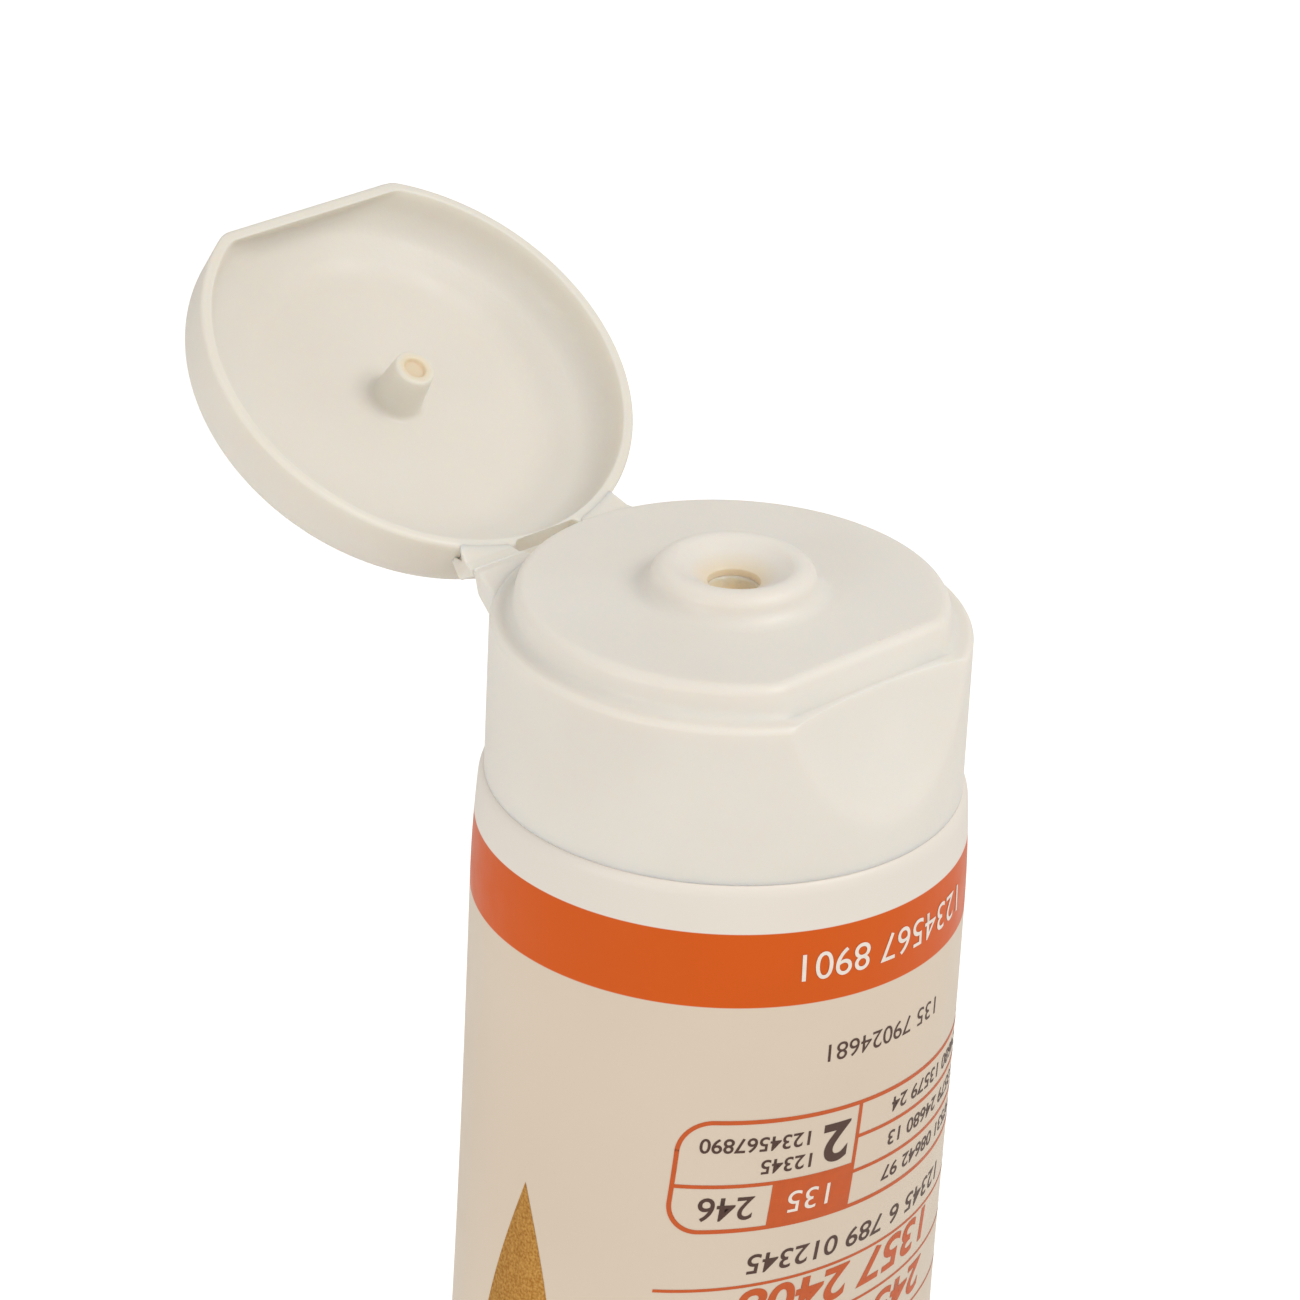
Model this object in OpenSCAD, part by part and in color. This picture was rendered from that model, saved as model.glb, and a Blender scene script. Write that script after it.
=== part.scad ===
// Squeeze tube for cream, with a keyed press-on cap and a flip-top lid.
// The tube stands cap up with its crimped tail on z = 0. The thumb recess looks along -Y, the
// lid's hinge lies along X on the +Y side, and the lid is drawn open.

/* [Tube] */
// Outer diameter of the filled sleeve
sleeve_d = 35; // [34:0.5:50]
// Height from the tail's cut edge to the shoulder edge
sleeve_h = 98; // [80:1:160]
// Wall of the sleeve
sleeve_wall = 0.5; // [0.4:0.05:0.8]
// Height of the welded tail
crimp_h = 7; // [5:0.5:12]
// Thickness of the welded tail
crimp_t = 0.9; // [0.8:0.05:1.4]
// Length below the shoulder that stays fully round
round_h = 12; // [10:0.5:30]
// How late the sleeve flattens towards the tail
flatten_power = 1.7; // [1.2:0.1:2.6]
// Inward step of the rounded shoulder edge
shoulder_step = 0.4; // [0.2:0.05:0.8]
// Height of the rounded shoulder edge
shoulder_step_h = 0.9; // [0.6:0.1:2]
// Inward draw of the long flare under the shoulder
flare = 0.38; // [0.1:0.02:0.8]
// Height of the long flare
flare_h = 9; // [5:0.5:9.5]

/* [Tube head] */
// Outer diameter of the neck
neck_d = 14; // [13.5:0.5:18]
// Wall of the neck
neck_wall = 1.7; // [1.2:0.1:1.9]
// Height of the bead that the cap snaps over
bead_h = 0.5; // [0.3:0.05:0.7]
// Wall of the shoulder
head_wall = 1.3; // [1:0.1:2]
// Height of the rim welded into the sleeve
head_rim_h = 4.5; // [3:0.5:7]
// Rise of the conical shoulder
shoulder_rise = 1.6; // [1:0.1:2.2]

/* [Cap base] */
// How far the cap's wall lies inside the sleeve's
cap_inset = 0.75; // [0.7:0.05:1.5]
// Height from the shoulder edge to the ledge under the lid
cap_h = 11.8; // [11:0.1:20]
// Wall of the cap's skirt and deck
cap_wall = 1.2; // [1:0.1:1.4]
// Height of the plateau above the ledge
plateau_h = 2.3; // [2:0.1:2.6]
// Radius of the plateau's top edge
plateau_edge = 0.8; // [0.4:0.1:1.2]
// Inward draft of the plateau's wall
plateau_draft = 0.2; // [0.05:0.05:0.5]
// Inward lean of the plateau's front flat, in degrees
front_lean = 20; // [10:1:26]
// Depth of the thumb recess at the ledge
recess_d = 3.2; // [2.4:0.1:3.2]
// Height of the thumb recess below the ledge
recess_h = 8.6; // [6:0.2:9.4]
// Radius of the recess across the cap
recess_r = 40; // [36:2:80]
// Radius of the recess up and down
recess_rise_r = 27; // [22:1:34]

/* [Spout] */
// Height of the spout above the deck
spout_h = 2.1; // [1.8:0.1:2.3]
// Diameter of the crest of the spout's rim
spout_rim_d = 9.2; // [8.4:0.1:9.6]
// Radius of the spout's round lip
spout_lip = 1.15; // [0.9:0.05:1.2]
// Fillet between spout and deck
spout_fillet = 1.4; // [0.8:0.1:1.6]
// Diameter of the orifice
orifice_d = 3.7; // [3.6:0.1:4.2]
// Depth of the funnel above the orifice
funnel_h = 1.45; // [1.2:0.05:1.6]
// Length of the straight orifice
orifice_l = 1.35; // [1:0.05:1.5]

/* [Lid] */
// Height of the lid
lid_h = 5.9; // [5.8:0.1:8]
// Radius of the lid's outer top edge
lid_edge = 2.9; // [1.5:0.1:3.4]
// Thickness of the lid's top
lid_top = 1.05; // [0.9:0.05:1.1]
// Radius between the lid's inner wall and its ceiling
lid_inner_edge = 2.8; // [1.4:0.1:3]
// How far the lid's front flat is cut in from the cap's wall, at the rim
lid_cut = 2.15; // [1.8:0.05:2.2]
// Outward lean of the front flat, per millimetre of height
lid_flat_lean = 0.42; // [0.2:0.02:0.5]
// Angle of the open lid, from closed
lid_open = 148; // [100:1:152]
// Outer diameter of the sealing pin at its root
pin_root_d = 3.8; // [3.4:0.1:4]
// Outer diameter of the sealing pin at its tip
pin_tip_d = 3; // [2.4:0.1:3.1]
// Bore of the hollow sealing pin
pin_bore_d = 1.7; // [1:0.1:1.8]
// Height of the pin's tip above the ledge when the lid is closed
pin_tip_h = 1.1; // [1:0.05:1.6]

/* [Hinge] */
// Distance from the cap's wall out to the hinge line
hinge_out = 0.7; // [0.6:0.05:1]
// Drop of the hinge line below the ledge
hinge_drop = 0.48; // [0.4:0.02:0.6]
// Radius of the film along the hinge line
film_r = 0.2; // [0.15:0.01:0.24]
// Half the length of the whole hinge line
wing_out = 8.2; // [6:0.1:9]
// Inner end of each wing
wing_in = 3.4; // [3.2:0.1:4]
// Depth of the wings below the ledge
wing_depth = 1.8; // [1.2:0.1:2.4]
// Width of the snap strap
strap_w = 5.2; // [3.6:0.1:5.4]
// Thickness of the snap strap
strap_t = 0.5; // [0.4:0.05:0.6]
// Distance of the strap's films inboard of the hinge line
strap_inset = 1.05; // [1:0.05:1.1]

/* [Clearances] */
// Gap between the closed lid's rim and the ledge
rim_gap = 0.1; // [0.05:0.05:0.3]
// Gap between the lid's inner wall and the plateau
lid_gap = 0.35; // [0.3:0.05:0.5]
// Gap round the neck and between other seated walls
seat_gap = 0.06; // [0.04:0.01:0.15]
// Gap round the films and the strap
film_gap = 0.06; // [0.04:0.01:0.1]
// Gap at the strap's free end, where it would be one piece with the lid
strap_play = 0.3; // [0.2:0.05:0.6]

/* [Hidden] */

// Smoothness of revolved parts, and of arcs inside a profile
$fn = 96;
arc_steps = 8;
// Sides of the lofted sleeve, and its steps along the flattened part, the flare and the edge
sleeve_sides = 64;
sleeve_steps = 20;
flare_steps = 3;
edge_steps = 3;
// A cut goes this far past the surface that it opens
over = 1;

// Sleeve
sleeve_r = sleeve_d / 2;
flat_half_w = PI * sleeve_r / 2;
round_z = sleeve_h - round_h;
flatten_l = round_z - crimp_h;
// How the width grows as the depth shrinks, so that the girth stays the same
girth_power = 1.65;
// Half depth of the inner space where it ends above the tail
pocket_half = 0.25;
tail_corner_r = 1.5;

// Cap and lid walls
ledge_z = sleeve_h + cap_h;
cap_r = sleeve_r - cap_inset;
skirt_in_r = cap_r - cap_wall;
plateau_r = skirt_in_r - lid_gap;
plateau_top_r = plateau_r - plateau_draft;
deck_under = plateau_h - cap_wall;
edge_break = 0.3;
skirt_fillet = 0.8;

// Neck, collar and plug
neck_r = neck_d / 2;
neck_bore_r = neck_r - neck_wall;
neck_top_z = ledge_z + deck_under;
bead_land = 0.6;
bead_drop = 4.4;
collar_in_r = neck_r + seat_gap;
collar_out_r = collar_in_r + cap_wall;
collar_l = 9.2;
plug_r = neck_bore_r - seat_gap;
plug_wall = 1;
plug_l = 2.2;

// Turning stops between head and cap
rib_t = 1;
rib_l = 10.2;
lug_t = 1.2;
lug_h = 4.6;
lug_gap = 0.15;
lug_in_r = collar_out_r + bead_h + lug_gap;
lug_out_r = skirt_in_r - cap_wall;

// Spout
spout_top = plateau_h + spout_h;
spout_rim_r = spout_rim_d / 2;
orifice_r = orifice_d / 2;
orifice_top = spout_top - funnel_h;
orifice_end = orifice_top - orifice_l;
lip_h = spout_top - spout_lip;
// The lip's arc meets the foot fillet's where the line between their centres crosses both
lip_rise = spout_fillet + spout_lip - spout_h;
spout_foot_r = spout_rim_r + sqrt(pow(spout_fillet + spout_lip, 2) - pow(lip_rise, 2));
lip_turn = atan2(lip_rise, spout_foot_r - spout_rim_r);
// The funnel's cone leaves the lip's arc where it touches it
funnel_w = spout_rim_r - orifice_r;
funnel_rise = lip_h - orifice_top;
funnel_turn = atan2(funnel_rise, funnel_w) + asin(spout_lip / norm([funnel_w, funnel_rise]));
chamber_r = plug_r - plug_wall;

// Lid
lid_ceiling = lid_h - lid_top;
lid_flat = cap_r - lid_cut;
lid_flat_wall = 1;
pin_fillet = 0.5;

// Front flat of the plateau, which the lid's front flat closes over, and the centre of its
// rounded upper edge
plateau_flat = lid_flat - lid_flat_wall - lid_gap;
front_l = (plateau_h - plateau_edge * (1 - sin(front_lean))) / cos(front_lean);
front_edge_y = front_l * sin(front_lean) + plateau_edge * cos(front_lean) - plateau_flat;

// Centre of the recess's upright profile, outside the cap, and the axis that it is turned about
recess_chord = norm([recess_d, recess_h]);
recess_reach = sqrt(pow(recess_rise_r, 2) - pow(recess_chord / 2, 2)) / recess_chord;
recess_mid_h = recess_reach * recess_d - recess_h / 2;
recess_axis_y = recess_d / 2 - recess_reach * recess_h + recess_rise_r - recess_r - cap_r;

// Hinge line and snap strap, with heights above the ledge
hinge_y = cap_r + hinge_out;
hinge_h = -hinge_drop;
wing_root_y = skirt_in_r - cap_wall;
strap_y = hinge_y - strap_inset;
// At this distance below and above the hinge line, the strap's two films are as far apart with
// the lid open as with it closed
strap_reach = strap_inset * tan(90 - lid_open / 4);
strap_base_h = hinge_h - strap_reach;
strap_l = 2 * strap_reach - strap_play;
pocket_y = strap_y - strap_t / 2 - 2 * film_gap;
pocket_w = strap_w + 10 * film_gap;

function arc(cx, cy, r, from, to) =
    [for (i = [0:arc_steps]) let (a = from + (to - from) * i / arc_steps)
        [cx + r * cos(a), cy + r * sin(a)]];

// Radius of the sleeve at a depth below the shoulder edge: a rounded edge, then a long flare
function shoulder_r(depth) = let (d = max(0, depth))
    sleeve_r
    - flare * pow(max(0, 1 - d / flare_h), 2)
    - shoulder_step * (1 - sqrt(1 - pow(max(0, 1 - d / shoulder_step_h), 2)));

// Half depth of the sleeve at a height, from fully round down to the welded tail
function half_depth(z) =
    z >= round_z
    ? shoulder_r(sleeve_h - z)
    : crimp_t / 2 + (sleeve_r - crimp_t / 2) * (1 - pow((round_z - z) / flatten_l, flatten_power));

// Half width at a height, which grows so that the girth stays that of the round sleeve
function half_width(z) =
    z >= round_z
    ? half_depth(z)
    : sleeve_r + (flat_half_w - sleeve_r) * (1 - pow(half_depth(z) / sleeve_r, girth_power));

// Heights of the sleeve's rings from a lowest one up to the shoulder edge
function ring_heights(low) = concat(
    [for (i = [0:sleeve_steps]) low + (round_z - low) * i / sleeve_steps],
    [for (i = [1:flare_steps - 1]) round_z + (round_h - shoulder_step_h) * i / flare_steps],
    [for (i = [0:edge_steps]) sleeve_h - shoulder_step_h * (1 - sin(90 * i / edge_steps))]
);

// A closed skin through rings of the sleeve, each given by its height and how far it is drawn in
module loft(rings) {
    last = len(rings) - 1;
    points = [
        for (ring = rings, j = [0:sleeve_sides - 1])
            let (z = ring[0], inset = ring[1], a = 360 * j / sleeve_sides)
                [(half_width(z) - inset) * cos(a), (half_depth(z) - inset) * sin(a), z]
    ];
    skin = [
        for (i = [0:last - 1], j = [0:sleeve_sides - 1])
            let (k = (j + 1) % sleeve_sides, low = i * sleeve_sides, high = low + sleeve_sides)
                each [[low + j, high + j, high + k], [low + j, high + k, low + k]]
    ];
    bottom = [for (j = [0:sleeve_sides - 1]) j];
    top = [for (j = [sleeve_sides - 1:-1:0]) last * sleeve_sides + j];
    polyhedron(points, concat(skin, [bottom, top]));
}

// An outline in Y and height, drawn out along X
module slab(outline, w) {
    rotate([90, 0, 90]) linear_extrude(w, center = true) polygon(outline);
}

// Printed plastic sleeve: up its outside from the tail, over the shoulder edge and down its
// inside to the end of the space for the cream
module tube_sleeve() {
    // Share of the flattened depth at which the two walls meet
    meet = (sleeve_wall + pocket_half - crimp_t / 2) / (sleeve_r - crimp_t / 2);
    pocket_z = round_z - flatten_l * pow(1 - meet, 1 / flatten_power);
    inner = ring_heights(pocket_z);
    color("bisque") loft(concat(
        [for (z = ring_heights(crimp_h)) [z, 0]],
        [for (i = [len(inner) - 1:-1:0]) [inner[i], sleeve_wall]]
    ));
}

// The sleeve's two walls welded flat, with rounded corners at the cut edge
module tail_seal() {
    inner_w = flat_half_w - tail_corner_r;
    color("bisque") rotate([90, 0, 0]) linear_extrude(crimp_t, center = true) union() {
        translate([-flat_half_w, tail_corner_r]) square([2 * flat_half_w, crimp_h - tail_corner_r]);
        translate([-inner_w, 0]) square([2 * inner_w, tail_corner_r + over]);
        for (x = [-inner_w, inner_w]) translate([x, tail_corner_r]) circle(tail_corner_r);
    }
}

// Outer face of the head, which follows the sleeve's inside from the rim's lower end up
function head_rim() = [
    for (i = [0:arc_steps]) let (d = head_rim_h * (1 - i / arc_steps))
        [shoulder_r(d) - sleeve_wall - seat_gap, sleeve_h - d]
];

// Moulded shoulder and neck, with the bead that holds the cap and the lugs that key it
module tube_head() {
    seat_r = skirt_in_r - edge_break;
    rim_in_r = head_rim()[0][0] - head_wall;
    shoulder_top = sleeve_h + shoulder_rise;
    bead_z = neck_top_z - bead_drop;
    color("white") {
        rotate_extrude() polygon(concat(head_rim(), [
            [seat_r, sleeve_h],
            [neck_r, shoulder_top],
            [neck_r, bead_z - bead_land],
            [neck_r + bead_h, bead_z],
            [neck_r + bead_h, bead_z + bead_land / 2],
            [neck_r, bead_z + 2 * bead_land],
            [neck_r, neck_top_z - bead_land],
            [neck_r - bead_land / 2, neck_top_z],
            [neck_bore_r, neck_top_z],
            [neck_bore_r, shoulder_top - head_wall],
            [rim_in_r, sleeve_h - head_wall],
            [rim_in_r, sleeve_h - head_rim_h]
        ]));
        for (turn = [0, 180], side = [-1, 1])
            rotate(turn)
                translate([lug_in_r, side * (rib_t + lug_t + 2 * lug_gap) / 2 - lug_t / 2, sleeve_h - over / 2])
                    cube([lug_out_r - lug_in_r, lug_t, lug_h + over / 2]);
    }
}

// Half profile of the cap's outside: skirt, ledge, plateau, deck and spout with its funnel
function cap_profile() = concat(
    [[0, -cap_h], [cap_r - edge_break / 2, -cap_h], [cap_r, edge_break / 2 - cap_h]],
    arc(cap_r - edge_break, -edge_break, edge_break, 0, 90),
    [[plateau_r, 0]],
    arc(plateau_top_r - plateau_edge, plateau_h - plateau_edge, plateau_edge, 0, 90),
    arc(spout_foot_r, plateau_h + spout_fillet, spout_fillet, 270, 180 + lip_turn),
    arc(spout_rim_r, lip_h, spout_lip, lip_turn, 90 + funnel_turn),
    [[orifice_r, orifice_top], [0, orifice_top]]
);

// Half profile of the space inside the cap
function cap_hollow() = let (under_r = plateau_top_r - cap_wall) concat(
    [[0, -cap_h - over], [skirt_in_r, -cap_h - over]],
    arc(skirt_in_r - skirt_fillet, -cap_wall - skirt_fillet, skirt_fillet, 0, 90),
    [[under_r, -cap_wall]],
    arc(under_r - skirt_fillet, deck_under - skirt_fillet, skirt_fillet, 0, 90),
    [[0, deck_under]]
);

// The thumb recess: a barrel that cuts the wall deepest at the ledge and runs out at its foot.
// Swollen by a wall's thickness, it keeps the same wall behind the recess.
module recess(wall) {
    profile_r = recess_rise_r + wall;
    low = asin((recess_mid_h + cap_h) / profile_r);
    high = asin((recess_mid_h - deck_under - over) / profile_r);
    translate([0, recess_axis_y, 0]) rotate_extrude() polygon(concat(
        [[0, -cap_h]],
        arc(recess_r - recess_rise_r, recess_mid_h, profile_r, -low, -high),
        [[0, deck_under + over]]
    ));
}

// What the leaning front flat takes off the plateau
module plateau_front() {
    slab(concat(
        [[-2 * cap_r, 0], [-plateau_flat, 0]],
        arc(front_edge_y, plateau_h - plateau_edge, plateau_edge, 180 - front_lean, 90),
        [[-plateau_flat, plateau_h + over], [-2 * cap_r, plateau_h + over]]
    ), 4 * cap_r);
}

// A pair of wings beside the strap, cut back to the inner face of the wall that carries them
module wing_pair(outline) {
    wing_l = wing_out - wing_in;
    difference() {
        for (side = [-1, 1]) translate([side * (wing_in + wing_l / 2), 0, 0]) slab(outline, wing_l);
        translate([0, 0, -cap_h]) cylinder(h = 2 * cap_h, r = skirt_in_r + over / 10);
    }
}

// Wings of the base, with the film along their edge
module base_wings() {
    root_h = -rim_gap;
    wing_pair([
        [wing_root_y, root_h],
        [cap_r - edge_break, root_h],
        [hinge_y - film_r / 2, hinge_h + film_r / 2],
        [hinge_y - film_r / 2, hinge_h - film_r / 2],
        [cap_r - edge_break, -wing_depth],
        [wing_root_y, -wing_depth]
    ]);
    for (side = [-1, 1])
        translate([side * (wing_in + wing_out) / 2, hinge_y, hinge_h]) rotate([0, 90, 0])
            cylinder(h = wing_out - wing_in, r = film_r, center = true, $fn = 24);
}

// Wings of the lid, whose edge goes round the base's film
module lid_wings() {
    seat_r = film_r + film_gap;
    difference() {
        wing_pair([
            [wing_root_y, rim_gap],
            [cap_r - edge_break, rim_gap],
            [hinge_y - seat_r, hinge_h + seat_r],
            [hinge_y, hinge_h + film_r],
            [hinge_y + 1.2 * seat_r, hinge_h + seat_r],
            [cap_r, wing_depth + rim_gap],
            [wing_root_y, wing_depth + rim_gap]
        ]);
        translate([0, hinge_y, hinge_h]) rotate([0, 90, 0])
            cylinder(h = 2 * cap_r, r = seat_r, center = true, $fn = 24);
    }
}

// Pocket for the snap strap in the wall, between two heights
module strap_pocket(low, high) {
    translate([-pocket_w / 2, pocket_y, low]) cube([pocket_w, cap_r, high - low]);
}

// Base of the flip-top cap, with its snap collar, plug ring, spout and hinge wings
module cap_base() {
    bead_h_mid = deck_under - bead_drop;
    color("white") translate([0, 0, ledge_z]) difference() {
        union() {
            difference() {
                rotate_extrude() polygon(cap_profile());
                difference() {
                    rotate_extrude() polygon(cap_hollow());
                    recess(cap_wall);
                }
            }
            difference() {
                union() {
                    translate([0, 0, -collar_l]) cylinder(h = collar_l + deck_under, r = collar_out_r);
                    for (turn = [0:60:300]) rotate(turn)
                        translate([neck_r, -rib_t / 2, -rib_l])
                            cube([skirt_in_r - neck_r + over / 5, rib_t, rib_l - cap_wall / 2]);
                }
                rotate_extrude() polygon([
                    [plug_r, deck_under],
                    [plug_r, deck_under - plug_l + plug_wall / 2],
                    [chamber_r + plug_wall / 2, deck_under - plug_l],
                    [0, deck_under - plug_l],
                    [0, -cap_h - over],
                    [collar_in_r + bead_land, -cap_h - over],
                    [collar_in_r, -collar_l + bead_land],
                    [collar_in_r, bead_h_mid - bead_land],
                    [collar_in_r + bead_h, bead_h_mid],
                    [collar_in_r + bead_h, bead_h_mid + bead_land / 2],
                    [collar_in_r, bead_h_mid + 2 * bead_land],
                    [collar_in_r, deck_under]
                ]);
            }
            base_wings();
        }
        translate([0, 0, orifice_end - over]) cylinder(h = orifice_l + 2 * over, r = orifice_r);
        rotate_extrude() polygon([
            [0, -cap_h],
            [chamber_r, -cap_h],
            [chamber_r, deck_under],
            [orifice_r + plug_wall / 2, orifice_end],
            [0, orifice_end]
        ]);
        recess(0);
        plateau_front();
        strap_pocket(strap_base_h - strap_t, over);
    }
}

// Places a piece that is drawn for the closed lid, with heights above the ledge, where it lies
// after a turn about a line along X
module swung(y, h, angle) {
    translate([0, y, ledge_z + h]) rotate([-angle, 0, 0]) translate([0, -y, -h]) children();
}

// Snap strap between the films, thin at its round ends, which turns half as far as the lid
module hinge_strap() {
    film_t = strap_t / 2;
    thin = film_t / 3;
    top = strap_l - film_t / 2;
    color("white") swung(strap_y, strap_base_h, lid_open / 2) translate([0, strap_y, strap_base_h]) {
        slab([
            [-thin, 0],
            [thin, 0],
            [strap_t / 2, strap_t],
            [strap_t / 2, strap_l - strap_t],
            [thin, top],
            [-thin, top],
            [-strap_t / 2, strap_l - strap_t],
            [-strap_t / 2, strap_t]
        ], strap_w);
        for (h = [0, top]) translate([0, 0, h]) rotate([0, 90, 0])
            cylinder(h = strap_w, r = film_t / 2, center = true, $fn = 24);
    }
}

// Half profiles of the lid's outside and of the space inside it
function lid_profile() = concat(
    [[0, rim_gap], [cap_r, rim_gap]],
    arc(cap_r - lid_edge, lid_h - lid_edge, lid_edge, 0, 90),
    [[0, lid_h]]
);
function lid_hollow() = concat(
    [[0, -over], [skirt_in_r, -over]],
    arc(skirt_in_r - lid_inner_edge, lid_ceiling - lid_inner_edge, lid_inner_edge, 0, 90),
    [[0, lid_ceiling]]
);

// What the leaning front flat takes off the lid, at a distance from the axis
module lid_front(distance) {
    slab([
        [-2 * cap_r, -over],
        [lid_flat_lean * over - distance, -over],
        [-distance - lid_flat_lean * lid_h * 1.2, lid_h * 1.2],
        [-2 * cap_r, lid_h * 1.2]
    ], 4 * cap_r);
}

// Hollow pin that plugs the orifice
module sealing_pin() {
    root_r = pin_root_d / 2;
    tip_r = pin_tip_d / 2;
    rotate_extrude() polygon(concat(
        [
            [pin_bore_d / 2, pin_tip_h],
            [tip_r - edge_break / 2, pin_tip_h],
            [tip_r, pin_tip_h + edge_break / 2],
            [root_r, lid_ceiling - pin_fillet]
        ],
        arc(root_r + pin_fillet, lid_ceiling - pin_fillet, pin_fillet, 180, 90),
        [[0, lid_ceiling + lid_top / 2], [0, lid_ceiling - lid_top], [pin_bore_d / 2, lid_ceiling - lid_top]]
    ));
}

// Flip-top lid: a shallow dish with a leaning front flat, hinge wings and the sealing pin
module lid() {
    color("white") swung(hinge_y, hinge_h, lid_open) {
        difference() {
            union() {
                difference() {
                    rotate_extrude() polygon(lid_profile());
                    difference() {
                        rotate_extrude() polygon(lid_hollow());
                        lid_front(lid_flat - lid_flat_wall);
                    }
                }
                lid_wings();
            }
            lid_front(lid_flat);
            strap_pocket(-over, hinge_h + strap_reach + strap_t);
        }
        sealing_pin();
    }
}

tube_sleeve();
tail_seal();
tube_head();
cap_base();
hinge_strap();
lid();
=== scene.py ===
"""Squeeze tube for cream with a flip-top cap, standing on its tail with the lid open.

All sizes are in millimetres unless a comment says otherwise, in the part's own frame: z = 0 at
the tail's cut edge, the thumb recess towards -Y, the hinge line along X on the +Y side. Heights
called h count from the cap's ledge. New pieces are surfaces worked out on a grid of two
parameters, and the printed numbers are cut from a font's outlines. Steps are the distances
between points along straight runs and along arcs.
"""

import math

import bmesh
import bpy
import numpy as np
from mathutils import Matrix


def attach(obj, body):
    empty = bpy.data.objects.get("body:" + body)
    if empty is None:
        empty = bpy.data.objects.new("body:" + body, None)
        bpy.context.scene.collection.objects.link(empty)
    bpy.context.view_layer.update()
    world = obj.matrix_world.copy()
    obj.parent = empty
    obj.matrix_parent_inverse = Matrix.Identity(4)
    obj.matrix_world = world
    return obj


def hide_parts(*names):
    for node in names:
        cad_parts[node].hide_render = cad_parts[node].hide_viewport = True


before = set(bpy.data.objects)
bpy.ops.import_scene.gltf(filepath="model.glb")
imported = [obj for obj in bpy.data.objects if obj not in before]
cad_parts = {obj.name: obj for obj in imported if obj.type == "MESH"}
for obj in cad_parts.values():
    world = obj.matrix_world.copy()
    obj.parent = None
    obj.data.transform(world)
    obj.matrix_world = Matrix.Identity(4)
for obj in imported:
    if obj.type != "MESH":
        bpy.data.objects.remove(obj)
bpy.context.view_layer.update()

MM = 0.001
# Points closer than this, in metres, are one
MERGE = 2e-6
# How far a point may be off and still count as lying on a line
SLACK = 0.01
# How much of the shorter run beside a corner its arc may take up
RUN_SHARE = 0.499

# Sleeve: the shoulder's edge is at SLEEVE_H, and the sleeve is round from ROUND_Z up
SLEEVE_R, SLEEVE_H, SLEEVE_WALL = 17.5, 98.0, 0.5
ROUND_Z, FLATTEN_POWER, GIRTH_POWER = 86.0, 1.7, 1.65
FLAT_HALF_W = math.pi * SLEEVE_R / 2
# The top draws in by FLARE over FLARE_H, and by STEP more in its rounded edge
FLARE, FLARE_H, STEP, STEP_H = 0.38, 9.0, 0.4, 0.9
# The wall's inside is drawn down to this far above the weld
INSIDE_FOOT = 12.0
# Rings across the wall's edge, as shares of its thickness
RIM_SHARES = (0.1, 0.9)
SLEEVE_COLUMNS, BODY_RINGS, TOP_RINGS, EDGE_RINGS, INSIDE_RINGS = 256, 110, 16, 9, 30

# Tail weld
TAIL_H, TAIL_T, TAIL_CORNER = 7.0, 0.9, 1.5
# How far its slab ends inside the skin's ends, and how far it reaches up into the skin
WELD_ROOM, WELD_OVERLAP = 0.01, 0.3
# The jaw's rows: depth, spacing, plain margins below and above them, and their run-out
JAW_DEPTH, JAW_PITCH, JAW_LOW, JAW_HIGH, JAW_FADE = 0.05, 0.9, 0.6, 0.7, 0.3
# Its section: how evenly points run along the faces, and how tightly it turns at the ends
SLAB_POWER, SLAB_TURN = 0.9, 14
WELD_COLUMNS, WELD_CORNER_RINGS, WELD_RINGS = 140, 20, 71

# Print: the skin lies INK_ROOM inside the solid, so that the ink on it stays flush with it
INK_ROOM, INK_LIFT = 0.03, 0.02
# Lower edges of the orange band and of the white zone, down from the shoulder's edge, and half
# the width over which one colour gives way to the next
ORANGE_FOOT, WHITE_FOOT, COLOUR_EDGE = 9.1, 3.45, 0.03
# Height of a digit as a share of its font size, and the width of the strips it is cut into
DIGIT_SHARE, STRIP = 0.7, 0.4
LINE_STEP = 0.25

# Cap base
LEDGE_Z, CAP_R, CAP_H, CAP_WALL = 109.8, 16.75, 11.8, 1.2
SKIRT_EDGE, CAP_EDGE = 0.03, 0.5
PLATEAU_R, PLATEAU_TOP_R, PLATEAU_H, PLATEAU_FOOT, PLATEAU_EDGE = 15.22, 15.0, 2.3, 1.0, 0.8
# The plateau's front flat: how far out its foot lies, its lean, and its rounding into the side
FRONT_FOOT, FRONT_LEAN, FRONT_EDGE = 13.25, 0.364, 0.6
# The thumb recess, the height to which it goes on above the ledge, and its rounding
RECESS_DEPTH, RECESS_H, RECESS_R, RECESS_RISE_R = 3.2, 8.6, 40.0, 27.0
RECESS_TOP, RECESS_EDGE = 0.6, 0.34
SPOUT_H, SPOUT_RIM_R, SPOUT_LIP, SPOUT_FOOT = 2.1, 4.6, 1.15, 1.4
FOOT_POINTS, LIP_POINTS = 16, 26
ORIFICE_R, ORIFICE_TOP, ORIFICE_END = 1.85, 2.95, 1.6
ORIFICE_IN_EDGE, ORIFICE_OUT_EDGE = 0.12, 0.05
# Under the deck: its ceiling, the plug ring with its draft, and the turn down into the skirt
CEILING_H, PLUG_IN_R, PLUG_OUT_R, PLUG_END_H, PLUG_DRAFT = 1.1, 4.2, 5.3, -1.1, 0.1
SHOULDER_R, SHOULDER_ROUND, SKIRT_H, SKIRT_ROUND = 13.8, 0.6, -1.2, 0.8
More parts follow.
